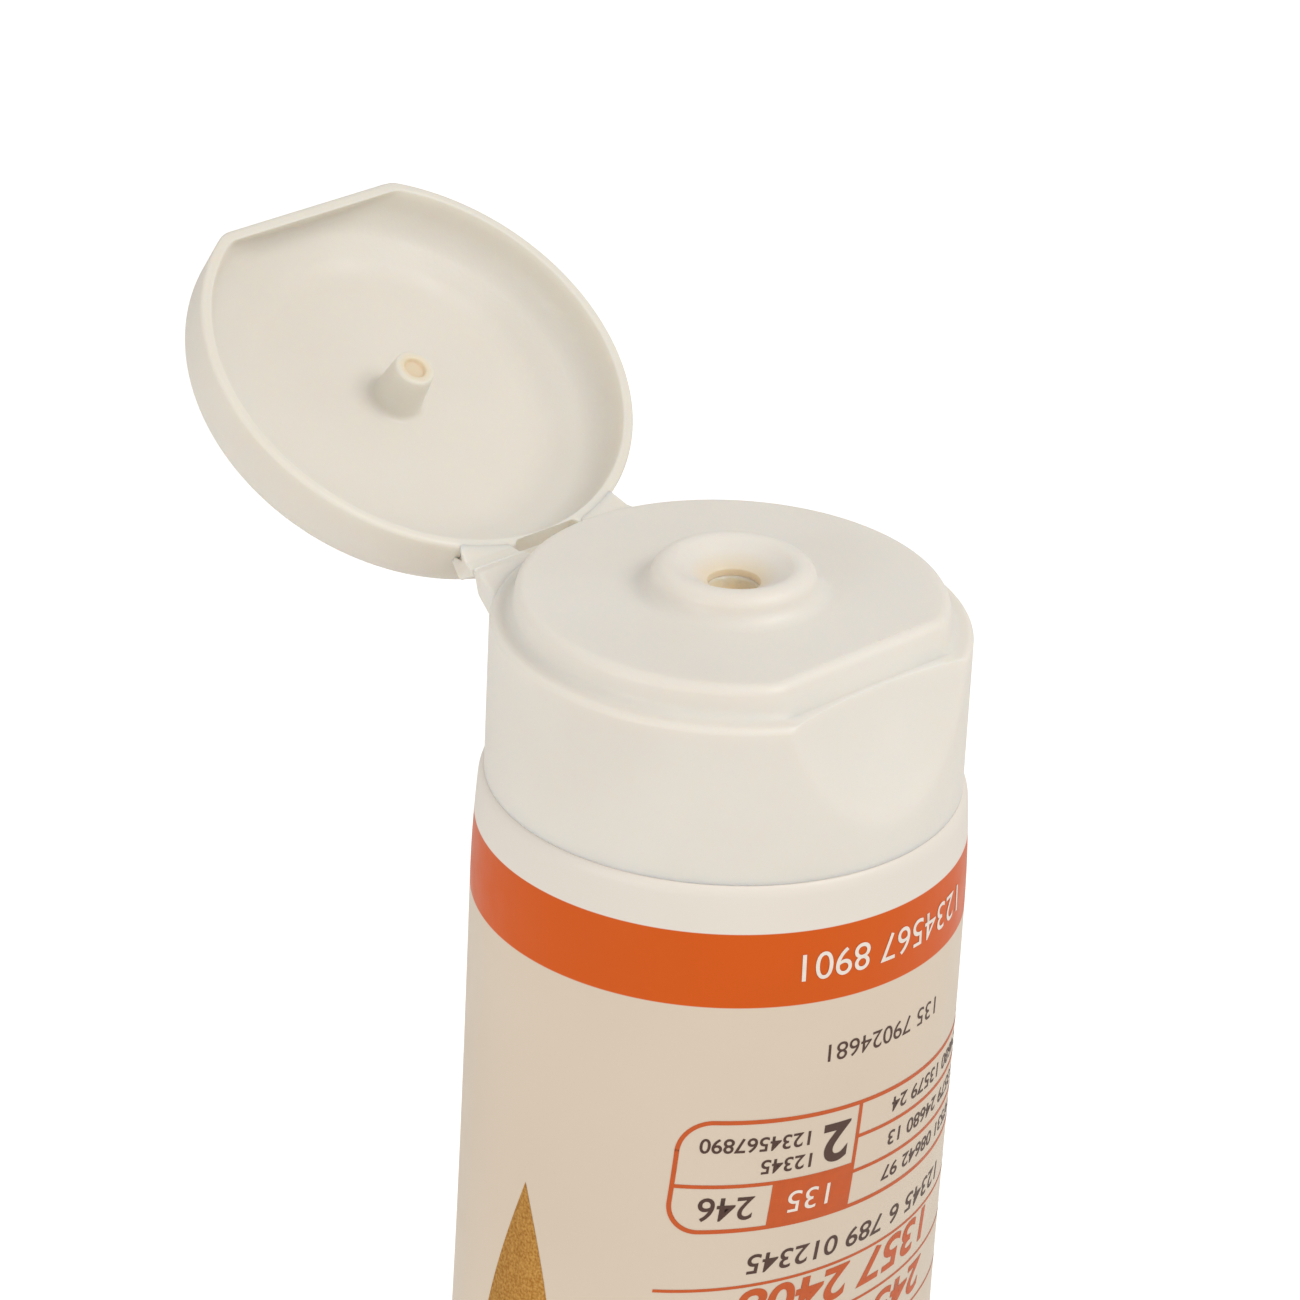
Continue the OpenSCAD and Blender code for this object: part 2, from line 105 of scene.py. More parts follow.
# Columns round the cap, and how much closer, up to what angle and how gradually, at the front
CAP_COLUMNS, FRONT_EXTRA, FRONT_ANGLE, FRONT_BLEND, ANGLE_SAMPLES = 420, 1.4, 0.85, 0.08, 2001
CAP_STEPS, BORE_STEPS, CAP_INSIDE_STEPS = (0.36, 0.1), (0.25, 0.06), (0.9, 0.3)

# Cream stains the funnel from the orifice out to THROAT_R, and the pin's tip as far as this
# above the floor of its bore
THROAT_R, THROAT_STAIN = 3.2, 0.5
PIN_STAIN, PIN_STAIN_H = 0.6, 0.2
# Cream in the neck: its radius, its level under the pin's tip, and its foot
CREAM_R, CREAM_TOP, CREAM_FOOT, CREAM_EDGE = 4.0, 1.0, 0.3, 0.2
# The pin's print in it: floor, wall and its rim, and how far it grips round the orifice
PRINT_FLOOR_R, PRINT_FLOOR_ROUND, PRINT_WALL_R, PRINT_WALL_H, PRINT_WALL_ROUND = 1.5, 0.15, 1.7, 2.3, 0.3
CREAM_RIM_H, CREAM_RIM_ROUND, CREAM_RIM_GRIP = 2.5, 0.05, 0.02
CREAM_END_GRIP, CREAM_END_ROUND = 0.03, 0.1
CREAM_STEPS, CREAM_COLUMNS = (0.2, 0.05), 72

# Lid: the gap under its rim is RIM_GAP when it is shut
LID_OPEN, LID_H, LID_EDGE, LID_CEILING = 148.0, 5.88, 2.9, 4.85
RIM_GAP, RIM_EDGE = 0.1, 0.38
# Its front flat: how far out it lies at the ledge, its lean, its wall and its rounding
LID_FRONT, LID_LEAN, LID_FRONT_WALL, LID_FRONT_EDGE = 14.6, 0.42, 0.85, 0.3
# Points this near the rim's height belong to the rim
RIM_REACH = 0.25
# Inside, the lid is a dish: its wall leans in from the rim, then bends twice to the ceiling
LID_RIM_R, LID_RIM_ROUND = 15.95, 0.42
LID_DISH_R, LID_DISH_H, LID_FLOOR_R, LID_DISH_EDGE = 15.3, 2.9, 11.6, 5.0
# The pin and its bore, in which dried cream stands up to PIN_FLOOR_H
PIN_ROOT_R, PIN_TIP_R, PIN_TIP_H, PIN_FILLET, PIN_TIP_ROUND = 1.9, 1.5, 1.1, 0.5, 0.25
PIN_BORE_R, PIN_BORE_DRAFT, PIN_BORE_ROUND, PIN_FLOOR_H = 0.85, 0.1, 0.2, 1.45
LID_COLUMNS, LID_STEPS, DISH_STEPS = 480, (0.45, 0.16), (0.5, 0.12)

# Hinge
HINGE_Y, HINGE_H = 17.45, -0.48
# Pocket for the snap strap: where its floor lies, half its width, its foot in the base and its
# end in the lid, and the width over which its edges run out
POCKET_Y, POCKET_HALF, POCKET_LOW, POCKET_HIGH, POCKET_EDGE = 16.03, 2.9, -2.37, 1.41, 0.3
WING_IN, WING_OUT, WING_EDGE = 3.4, 8.2, 0.3
# How much further out a wing ends for each millimetre from the hinge line in to the wall
BASE_WING_SLANT, LID_WING_SLANT = 0.48, -0.365
WING_STEPS, WING_END_ROWS, WING_ROWS = (0.25, 0.06), 7, 9
# The wings' sections in the shut cap, as corners (y, h, rounding) that start and end inside the
# wall. The base's carries a bead at the hinge line, and the lid's a seat that runs round it
BASE_WING = ((12.6, -0.12, 0.05), (16.45, -0.12, 0.3), (17.32, -0.36, 0.05), (17.45, -0.28, 0.1),
             (17.65, -0.34, 0.12), (17.62, -0.62, 0.12), (17.36, -0.66, 0.05), (16.45, -1.8, 0.4),
             (12.6, -2.2, 0.05))
LID_WING = ((12.6, 0.12, 0.05), (16.45, 0.12, 0.2), (17.18, -0.2, 0.03), (17.3, -0.24, 0.03),
            (17.45, -0.2, 0.05), (17.66, -0.21, 0.03), (17.7, -0.15, 0.03), (16.8, 1.7, 0.3),
            (12.6, 2.2, 0.05))

# Label: rows of numbers as (text, u, d, height, bold), u from the front's middle and d down from
# the shoulder's edge
WHITE_ROWS = (("1234567 8901", 0.3, 6.3, 2.1, 0.0), ("135", -5.2, 25.3, 1.8, 0.0))
ORANGE_ROWS = (("1357 2408", 0.0, 34.0, 3.0, 0.1), ("245 13579", 0.0, 39.0, 3.0, 0.1))
BROWN_ROWS = (("135 79024681", 0.0, 13.4, 1.4, 0.0), ("2", -3.9, 21.0, 3.1, 0.12),
              ("1234567890", -9.8, 20.1, 1.15, 0.02), ("12345", -7.4, 22.0, 1.15, 0.02),
              ("246", -11.4, 25.3, 1.9, 0.02), ("24680 13579 24", 6.6, 19.7, 1.2, 0.02),
              ("13579 24680 13", 6.6, 22.6, 1.2, 0.02), ("97531 08642 97", 6.6, 25.6, 1.2, 0.02),
              ("12345 6 789 012345", 0.6, 30.2, 1.65, 0.02), ("50", 0.0, 51.5, 10.5, 0.3),
              ("13579 24680 13579", 0.0, 60.4, 1.3, 0.0), ("2468 13579 2468", 0.0, 63.2, 1.3, 0.0),
              ("975 31086 42975 3", 0.0, 66.0, 1.3, 0.0), ("0  1  2  3  4  5  6", 0.0, 72.4, 1.9, 0.0))
# The ruled box, with the orange cell at the foot of its left half
BOX_HALF_W, BOX_TOP, BOX_BOTTOM, BOX_ROUND, BOX_LINE, BOX_STEPS = 15.4, 18.2, 27.1, 2.4, 0.34, (0.3, 0.15)
CELL_LEFT, CELL_RIGHT, CELL_TOP, CELL_POINTS = -8.3, -2.1, 23.4, (30, 3)
# Lines: across the box's right half, under rows of numbers, and the shorter one at the foot
CELL_LINES, CELL_LINE = (21.1, 24.1), 0.3
RULES, RULE_LINE = (32.0, 36.6, 41.6), 0.25
FOOT_RULE, FOOT_RULE_HALF_W = 69.0, 14.0
# A gold leaf: where it starts, how far it drifts to the front, its length and half width
LEAF_U, LEAF_DRIFT, LEAF_TOP, LEAF_LENGTH, LEAF_HALF_W, LEAF_POINTS = 26.7, 3.0, 26.1, 34.0, 4.0, (60, 9)

# Patterns, in grains to a metre: how the melt flowed, the drift of its gloss, waves of the
# mould's face, and its spark-eroded grain, drawn 0.4 mm wide so that it shows
MELT_FLOW, MOULD_GLOSS, MOULD_WAVES, SPARK_GRAIN = 70, 260, 130, 2600
# The film's tone and gloss, its waves, drawn out along the tube, and the grain of its varnish
FILM_TONE, FILM_GLOSS, FILM_WAVES, VARNISH_GRAIN = 45, 300, 90, 900
FILM_STRETCH = (1, 1, 0.35)
# Places where the ink lies thin, the glitter of the foil, the lumps in the cream, and their gloss
INK_PATCHES, INK_GLOSS, FOIL_GRAIN, FOIL_GLOSS, CREAM_LUMPS, CREAM_GLOSS = 1500, 700, 5200, 2600, 900, 500
# Heights of the bumps
WAVE_HEIGHT, SPARK_HEIGHT, FILM_WAVE_HEIGHT, VARNISH_HEIGHT = 0.04, 0.004, 0.06, 0.006
FOIL_HEIGHT, LUMP_HEIGHT = 0.01, 0.08
# Noise hardly ever leaves this range
NOISE_LOW, NOISE_HIGH = 0.3, 0.7
# How pale ink gets where it is thin
THIN_INK = 0.93

# Room: strength of the world as light and as seen, the paper's own glow as seen, and half the
# width of the paper in metres
WORLD_LIGHT, WORLD_SEEN, PAPER_GLOW, PAPER_HALF = 0.6, 1.0, 0.45, 4.0
# Lamps as (name, place, width in metres, power in watts), turned towards LAMP_AIM
LAMPS = (("key_lamp", (180, -500, 680), 0.5, 2.7), ("fill_lamp", (-740, 20, 180), 0.6, 1.8))
LAMP_AIM = (0.0, 5.0, 95.0)

# The photograph's camera: degrees round from the front, above and rolled, millimetres back,
# left and down from the middle of the ledge, and focal length and frame in pixels
CAMERA_TURN, CAMERA_RISE, CAMERA_ROLL = -44.95, 26.51, 2.752
CAMERA_BACK, CAMERA_LEFT, CAMERA_DOWN = 407.0603, 5.6464, 2.1518
FOCAL_PIXELS, FRAME_PIXELS, SENSOR_W = 5900, 1300, 36
NEAREST, FARTHEST = 0.01, 20


# Shapes

def along(*parts):
    """Joins runs of points into one array."""
    return np.concatenate([np.asarray(p, float).reshape(-1, 2) for p in parts])


def rounded_path(corners, step, arc_step, closed=False):
    """A path through corners (a, b, radius): straight runs, and at each corner the arc of that
    radius that touches both runs, or of the largest radius for which there is room. The steps
    are the distances between points on runs and on arcs, and an arc has at least three."""
    c = np.array(corners, float)
    n = len(c)
    out = []
    for i in range(n):
        p, radius = c[i, :2], c[i, 2]
        if (not closed and i in (0, n - 1)) or radius <= 0:
            out.append(p[None])
            continue
        to_last, to_next = c[i - 1, :2] - p, c[(i + 1) % n, :2] - p
        reach = RUN_SHARE * min(np.hypot(*to_last), np.hypot(*to_next))
        to_last, to_next = to_last / np.hypot(*to_last), to_next / np.hypot(*to_next)
        half = math.acos(np.clip(to_last @ to_next, -1, 1)) / 2
        radius = min(radius, reach * math.tan(half))
        mid = (to_last + to_next) / np.hypot(*(to_last + to_next))
        centre = p + mid * radius / math.sin(half)
        start = p + to_last * radius / math.tan(half) - centre
        end = p + to_next * radius / math.tan(half) - centre
        turn = math.atan2(start[0] * end[1] - start[1] * end[0], start @ end)
        t = np.linspace(0, turn, max(3, int(abs(turn) * radius / arc_step) + 2))[:, None]
        out.append(centre + start * np.cos(t) + np.array([-start[1], start[0]]) * np.sin(t))
    stations = out + [out[0]] if closed else out
    path = [out[0]]
    for before, after in zip(stations[:-1], stations[1:]):
        a, b = before[-1], after[0]
        k = max(1, int(np.hypot(*(b - a)) / step))
        t = np.linspace(0, 1, k + 1)[1:-1, None]
        path += [a + (b - a) * t, after]
    path = np.concatenate(path)
    return path[:-len(out[0])] if closed else path


def soft_max(a, b, k):
    """The larger of a and b, with the corner between them rounded over a width k."""
    t = np.clip(0.5 + (a - b) / (2 * k), 0, 1)
    return b + (a - b) * t + k * t * (1 - t)


def full_turn(columns):
    """The angles of that many columns all round."""
    return np.linspace(-np.pi, np.pi, columns + 1)[:-1]


def revolve(profile, angles):
    """(r, z) turned about the Z axis: x = r sin a, y = -r cos a, so that a = 0 looks along -Y."""
    r, z = profile[:, 0][:, None], profile[:, 1][:, None]
    return np.stack([r * np.sin(angles), -r * np.cos(angles), z + 0 * angles], -1)


def mesh_object(name, points, faces, material, stain=None):
    """A mesh object from points in millimetres and faces, with doubles merged. Stain says, point
    by point, how much cream has coloured the plastic."""
    mesh = bpy.data.meshes.new(name)
    mesh.from_pydata((points * MM).tolist(), [], faces)
    if stain is not None:
        mesh.attributes.new("cream_stain", "FLOAT", "POINT").data.foreach_set("value", stain.ravel())
    work = bmesh.new()
    work.from_mesh(mesh)
    bmesh.ops.remove_doubles(work, verts=work.verts, dist=MERGE)
    work.to_mesh(mesh)
    work.free()
    mesh.polygons.foreach_set("use_smooth", np.full(len(mesh.polygons), True))
    mesh.materials.append(material)
    piece = bpy.data.objects.new(name, mesh)
    bpy.context.scene.collection.objects.link(piece)
    return piece


def grid_faces(rows, cols, wrap_rows, wrap_cols):
    """Quads between neighbours on a grid, going round where it wraps."""
    i = np.arange(rows if wrap_rows else rows - 1)[:, None]
    j = np.arange(cols if wrap_cols else cols - 1)[None, :]
    i2, j2 = (i + 1) % rows, (j + 1) % cols
    return np.stack([i * cols + j, i * cols + j2, i2 * cols + j2, i2 * cols + j], -1).reshape(-1, 4)


def surface(name, points, material, wrap_rows=False, stain=None):
    """A piece from a grid of points [row, column, xyz] whose columns go all round. The sign of
    its volume, the sum of a . (b x c) over its faces, tells which way they look."""
    faces = grid_faces(*points.shape[:2], wrap_rows, True)
    flat = points.reshape(-1, 3)
    a, b, c, d = (flat[faces[:, k]] - flat.mean(0) for k in range(4))
    volume = (a * (np.cross(b, c) + np.cross(c, d))).sum()
    faces = faces if volume > 0 else faces[:, ::-1]
    return mesh_object(name, flat, faces.tolist(), material, stain)


def opened(points):
    """Points of the shut lid turned back about the hinge line by LID_OPEN degrees."""
    t = math.radians(-LID_OPEN)
    hinge_z = LEDGE_Z + HINGE_H
    dy, dz = points[..., 1] - HINGE_Y, points[..., 2] - hinge_z
    out = points.copy()
    out[..., 1] = HINGE_Y + dy * math.cos(t) - dz * math.sin(t)
    out[..., 2] = hinge_z + dy * math.sin(t) + dz * math.cos(t)
    return out


# Materials

def linear(hex_colour):
    """An sRGB hex colour as linear light, by the sRGB standard's curve."""
    c = np.array([int(hex_colour[k:k + 2], 16) / 255 for k in (1, 3, 5)])
    c = np.where(c <= 0.04045, c / 12.92, ((c + 0.055) / 1.055) ** 2.4)
    return (*c.tolist(), 1.0)


def add(tree, kind, inputs=None, **settings):
    """Adds a node with its settings; an input is a plain value or another node's socket."""
    node = tree.nodes.new(kind)
    for key, value in settings.items():
        setattr(node, key, value)
    for key, value in (inputs or {}).items():
        if isinstance(value, bpy.types.NodeSocket):
            tree.links.new(value, node.inputs[key])
        else:
            node.inputs[key].default_value = value
    return node


def start_material(name, **shader_values):
    """A material with one Principled shader, whose plain values are set on its own sockets."""
    material = bpy.data.materials.new(name)
    material.use_nodes = True
    tree = material.node_tree
    shader = tree.nodes["Principled BSDF"]
    for key, value in shader_values.items():
        shader.inputs[key.replace("_", " ")].default_value = value
    place = add(tree, "ShaderNodeTexCoord").outputs["Object"]
    return material, tree, shader, place


def speckle(tree, place, scale, low, high, detail=2.0, stretch=(1, 1, 1)):
    """Noise between low and high with `scale` grains to a metre, stretched along the axes."""
    at = add(tree, "ShaderNodeMapping", {"Vector": place, "Scale": stretch}).outputs[0]
    noise = add(tree, "ShaderNodeTexNoise", {"Vector": at, "Scale": scale, "Detail": detail})
    spread = add(tree, "ShaderNodeMapRange", {"Value": noise.outputs["Fac"], "From Min": NOISE_LOW,
                                              "From Max": NOISE_HIGH, "To Min": low, "To Max": high})
    return spread.outputs[0]


def tinted(tree, factor, a, b):
    """Colour a where factor is 0 and b where it is 1."""
    mix = add(tree, "ShaderNodeMix", {"Factor": factor}, data_type="RGBA")
    for key, value in (("A", a), ("B", b)):
        socket = [s for s in mix.inputs if s.name == key and s.type == "RGBA"][0]
        if isinstance(value, bpy.types.NodeSocket):
            tree.links.new(value, socket)
        else:
            socket.default_value = value
    return [s for s in mix.outputs if s.type == "RGBA"][0]


def bumped(tree, shader, *layers):
    """Puts bump layers (height socket, depth) on a shader, one over the other."""
    normal = None
    for height, depth in layers:
        inputs = {"Height": height, "Distance": depth * MM, "Strength": 1.0}
        if normal:
            inputs["Normal"] = normal
        normal = add(tree, "ShaderNodeBump", inputs).outputs[0]
    tree.links.new(normal, shader.inputs["Normal"])


def moulded_plastic(name, shade, deep):
    """Polypropylene or polyethylene from a finely spark-eroded mould: milky, softly glossy, light
    bleeds a millimetre into it, and its tone drifts a little where the melt flowed."""
    material, tree, shader, place = start_material(
        name, IOR=1.49, Subsurface_Weight=0.5, Subsurface_Scale=0.0013,
        Subsurface_Radius=(1.0, 0.75, 0.5))
    drift = speckle(tree, place, MELT_FLOW, 0, 1)
    plain = tinted(tree, drift, linear(shade), linear(deep))
    stain = add(tree, "ShaderNodeAttribute", attribute_name="cream_stain").outputs["Fac"]
    tree.links.new(tinted(tree, stain, plain, linear("#E6CD9E")), shader.inputs["Base Color"])
    tree.links.new(speckle(tree, place, MOULD_GLOSS, 0.38, 0.5), shader.inputs["Roughness"])
    bumped(tree, shader, (speckle(tree, place, MOULD_WAVES, 0, 1), WAVE_HEIGHT),
           (speckle(tree, place, SPARK_GRAIN, 0, 1, detail=1.0), SPARK_HEIGHT))
    return material


def above(tree, height, z):
    """0 below the height z and 1 above it."""
    return add(tree, "ShaderNodeMapRange", {"Value": height, "From Min": (z - COLOUR_EDGE) * MM,
                                            "From Max": (z + COLOUR_EDGE) * MM}).outputs[0]


def printed_sleeve(name):
    """Polyethylene film, printed and varnished: a white zone, an orange band and a beige body
    below it, whose edges follow the height. The varnish is even, the film under it is not."""
    material, tree, shader, place = start_material(name, IOR=1.45, Specular_IOR_Level=0.28)
    height = add(tree, "ShaderNodeSeparateXYZ", {"Vector": place}).outputs["Z"]
    drift = speckle(tree, place, FILM_TONE, 0, 1)
    beige = tinted(tree, drift, linear("#DFCFBB"), linear("#DBCAB5"))
    orange = tinted(tree, drift, linear("#D75A06"), linear("#D15605"))
    white = tinted(tree, drift, linear("#E9E1D6"), linear("#E6DDD1"))
    colour = tinted(tree, above(tree, height, SLEEVE_H - ORANGE_FOOT), beige, orange)
    colour = tinted(tree, above(tree, height, SLEEVE_H - WHITE_FOOT), colour, white)
    tree.links.new(colour, shader.inputs["Base Color"])
    tree.links.new(speckle(tree, place, FILM_GLOSS, 0.3, 0.42), shader.inputs["Roughness"])
    waves = speckle(tree, place, FILM_WAVES, 0, 1, detail=1.0, stretch=FILM_STRETCH)
    bumped(tree, shader, (waves, FILM_WAVE_HEIGHT),
           (speckle(tree, place, VARNISH_GRAIN, 0, 1), VARNISH_HEIGHT))
    return material


def ink(name, shade):
    """Screen-printed ink: opaque, a little drier than the varnish round it, faintly uneven."""
    material, tree, shader, place = start_material(name, IOR=1.5)
    patchy = speckle(tree, place, INK_PATCHES, 0, 1)
    thin = tuple(v * THIN_INK for v in linear(shade)[:3]) + (1.0,)
    tree.links.new(tinted(tree, patchy, linear(shade), thin), shader.inputs["Base Color"])
    tree.links.new(speckle(tree, place, INK_GLOSS, 0.4, 0.52), shader.inputs["Roughness"])
    return material


def gold_foil(name):
    """Hot-stamped gold foil: metal with a fine grain, so that it glitters instead of mirroring."""
    material, tree, shader, place = start_material(name, Metallic=0.75)
    grain = speckle(tree, place, FOIL_GRAIN, 0, 1, detail=1.0)
    tree.links.new(tinted(tree, grain, linear("#A8712B"), linear("#CB9A50")), shader.inputs["Base Color"])
    tree.links.new(speckle(tree, place, FOIL_GLOSS, 0.35, 0.55), shader.inputs["Roughness"])
    bumped(tree, shader, (grain, FOIL_HEIGHT))
    return material


def cream_material(name):
    """Sun cream: thick, faintly yellow, wet on its surface and soft in the light."""
    material, tree, shader, place = start_material(
        name, IOR=1.4, Subsurface_Weight=0.6, Subsurface_Scale=0.001,
        Subsurface_Radius=(1.0, 0.7, 0.4))
    lumps = speckle(tree, place, CREAM_LUMPS, 0, 1)
    tree.links.new(tinted(tree, lumps, linear("#F2DFC3"), linear("#EED8B9")), shader.inputs["Base Color"])
    tree.links.new(speckle(tree, place, CREAM_GLOSS, 0.2, 0.35), shader.inputs["Roughness"])
    bumped(tree, shader, (lumps, LUMP_HEIGHT))
    return material


cap_plastic = moulded_plastic("polypropylene_cap", "#E9E3D9", "#E5DED3")
lid_plastic = moulded_plastic("polypropylene_lid", "#E5E0D5", "#E1DBCF")
head_plastic = moulded_plastic("polyethylene_head", "#F0ECE4", "#EBE6DC")
sleeve_film = printed_sleeve("varnished_polyethylene_print")
ink_orange = ink("screen_ink_orange", "#CC560F")
ink_brown = ink("screen_ink_brown", "#4F3226")
ink_white = ink("screen_ink_white", "#F1E6DA")
foil = gold_foil("hot_stamped_gold_foil")
cream = cream_material("sun_cream")


# Sleeve and tail

def half_depth(z):
    """Half depth of the sleeve: R less a flare and a rounded edge at the top, then
    t/2 + (R - t/2)(1 - ((z_round - z) / length)^power) down to the tail."""
    d = np.maximum(SLEEVE_H - z, 0)
    flare = FLARE * np.maximum(0, 1 - d / FLARE_H) ** 2
    edge = STEP * (1 - np.sqrt(1 - np.maximum(0, 1 - d / STEP_H) ** 2))
    share = np.clip((ROUND_Z - z) / (ROUND_Z - TAIL_H), 0, 1) ** FLATTEN_POWER
    low = TAIL_T / 2 + (SLEEVE_R - TAIL_T / 2) * (1 - share)
    return np.where(z >= ROUND_Z, SLEEVE_R - flare - edge, low)


def half_width(z):
    """Half width that keeps the girth: R + (W - R)(1 - (depth / R)^power)."""
    depth = half_depth(z)
    wide = SLEEVE_R + (FLAT_HALF_W - SLEEVE_R) * (1 - (depth / SLEEVE_R) ** GIRTH_POWER)
    return np.where(z >= ROUND_Z, depth, wide)


def on_sleeve(u, d, lift=0.0):
    """A place on the sleeve: u round from the front's middle, d down from the shoulder's edge,
    lift off the printed skin. The girth is the same at every height, so the angle is u / R."""
    z = SLEEVE_H - d
    a = u / SLEEVE_R
    wide, deep = half_width(z) + lift - INK_ROOM, half_depth(z) + lift - INK_ROOM
    return np.stack([wide * np.sin(a), -deep * np.cos(a), z + 0 * a], -1)


def sleeve_skin():
    """The sleeve's wall: rings of on_sleeve up its outside, over the edge and down inside."""
    edge = SLEEVE_H - STEP_H * (1 - np.sin(np.linspace(0, np.pi / 2, EDGE_RINGS)))
    body = np.linspace(TAIL_H, ROUND_Z, BODY_RINGS)
    top = np.linspace(ROUND_Z, edge[0], TOP_RINGS)
    up = np.concatenate([body[:-1], top[:-1], edge])[:, None]
    down = np.linspace(SLEEVE_H, TAIL_H + INSIDE_FOOT, INSIDE_RINGS)[:, None]
    u = full_turn(SLEEVE_COLUMNS)[None, :] * SLEEVE_R
    outside = on_sleeve(u, SLEEVE_H - up)
    inside = on_sleeve(u, SLEEVE_H - down, -SLEEVE_WALL)
    rim = [on_sleeve(u, np.zeros((1, 1)), -SLEEVE_WALL * share) for share in RIM_SHARES]
    return surface("sleeve_skin", np.concatenate([outside, *rim, inside]), sleeve_film)


def tail_weld():
    """The welded tail: a slab with rounded lower corners, whose two faces carry the rows of the
    sealing jaw, t(z) = T/2 - depth (1 - cos(2 pi z / pitch)) inside a plain margin. In its
    section x = w sign(cos a) |cos a|^p, and y is the square root of m |sin a| up to 1."""
    corner = TAIL_CORNER * (1 - np.cos(np.linspace(0, np.pi / 2, WELD_CORNER_RINGS)))
    z = np.concatenate([corner, np.linspace(TAIL_CORNER, TAIL_H + WELD_OVERLAP, WELD_RINGS)[1:]])
    below = np.maximum(0, TAIL_CORNER - z)
    inset = TAIL_CORNER - np.sqrt(TAIL_CORNER ** 2 - below ** 2)
    width = FLAT_HALF_W - INK_ROOM - WELD_ROOM - inset
    ridge = JAW_DEPTH * (1 - np.cos(2 * np.pi * z / JAW_PITCH))
    ridge = ridge * np.clip((z - JAW_LOW) / JAW_FADE, 0, 1)
    ridge = ridge * np.clip((TAIL_H - JAW_HIGH - z) / JAW_FADE, 0, 1)
    thick = TAIL_T / 2 - INK_ROOM - ridge
    a = np.linspace(0, 2 * np.pi, WELD_COLUMNS + 1)[:-1]
    sx = np.sign(np.cos(a)) * np.abs(np.cos(a)) ** SLAB_POWER
    sy = np.sign(np.sin(a)) * np.sqrt(np.minimum(1, np.abs(np.sin(a)) * SLAB_TURN))
    grid = np.stack([width[:, None] * sx, -thick[:, None] * sy, z[:, None] + 0 * sx], -1)
    foot = grid[:1] * [1, 0, 1]
    head = grid[-1:] * [1, 0, 1]
    return surface("tail_weld", np.concatenate([foot, grid, head]), sleeve_film)


# Cap base

def spout_points():
    """Deck, foot fillet, lip and funnel: two arcs that touch, then the cone that touches the
    lip's arc and ends at the orifice."""
    rise = SPOUT_FOOT + SPOUT_LIP - SPOUT_H
    foot_r = SPOUT_RIM_R + math.sqrt((SPOUT_FOOT + SPOUT_LIP) ** 2 - rise ** 2)
    turn = math.atan2(rise, foot_r - SPOUT_RIM_R)
    foot_h = PLATEAU_H + SPOUT_FOOT
    lip_h = PLATEAU_H + SPOUT_H - SPOUT_LIP
    away = (SPOUT_RIM_R - ORIFICE_R, lip_h - ORIFICE_TOP)
    slope = math.atan2(away[1], away[0]) + math.asin(SPOUT_LIP / math.hypot(*away))
    a = np.linspace(1.5 * np.pi, np.pi + turn, FOOT_POINTS)
    foot = np.stack([foot_r + SPOUT_FOOT * np.cos(a), foot_h + SPOUT_FOOT * np.sin(a)], -1)
    a = np.linspace(turn, np.pi / 2 + slope, LIP_POINTS)
    lip = np.stack([SPOUT_RIM_R + SPOUT_LIP * np.cos(a), lip_h + SPOUT_LIP * np.sin(a)], -1)
    return foot, lip[1:]


def recess_floor(x, h):
    """Y of the thumb recess: a barrel of radius RECESS_R across and RECESS_RISE_R up and down,
    through the wall at its foot and RECESS_DEPTH inside it at the ledge."""
    chord = math.hypot(RECESS_DEPTH, RECESS_H)
    q = math.sqrt(RECESS_RISE_R ** 2 - chord ** 2 / 4)
    mid_h = -RECESS_H / 2 + q * RECESS_DEPTH / chord
    mid_y = -CAP_R + RECESS_DEPTH / 2 - q * RECESS_H / chord
    reach = np.sqrt(np.maximum(0, RECESS_RISE_R ** 2 - (h - mid_h) ** 2)) - RECESS_RISE_R
    axis_y = mid_y + RECESS_RISE_R - RECESS_R
    return axis_y + np.sqrt(np.maximum(0, (RECESS_R + reach) ** 2 - x ** 2))


def plateau_floor(h):
    """Y of the plateau's front flat, which leans in as it goes up and ends in a round edge."""
    low = PLATEAU_H - PLATEAU_EDGE
    t = np.clip((h - low) / PLATEAU_EDGE, 0, 1)
    return -FRONT_FOOT + FRONT_LEAN * np.minimum(h, low) + PLATEAU_EDGE * (1 - np.sqrt(1 - t ** 2))


def within_pocket(inside):
    """Share of the pocket's depth for a point that far inside its edge: 0.5 on the edge itself,
    and from 0 to 1 over the width POCKET_EDGE."""
    return np.clip(inside / POCKET_EDGE + 0.5, 0, 1)


def strap_pocket(x, y, h):
    """Y with the strap's pocket pressed in: a share of what lies beyond its floor is taken away."""
    across = within_pocket(POCKET_HALF - np.abs(x))
    upright = within_pocket(POCKET_HIGH - h) * within_pocket(h - POCKET_LOW)
    return y - np.maximum(y - POCKET_Y, 0) * across * upright


def cap_angles():
    """Columns round the cap, over twice as close together over the thumb recess as behind."""
    t = np.linspace(-np.pi, np.pi, ANGLE_SAMPLES)
    density = 1 + FRONT_EXTRA / (1 + np.exp((np.abs(t) - FRONT_ANGLE) / FRONT_BLEND))
    total = np.concatenate([[0], np.cumsum((density[1:] + density[:-1]) / 2)])
    return np.interp(np.linspace(0, total[-1], CAP_COLUMNS + 1)[:-1], total, t)


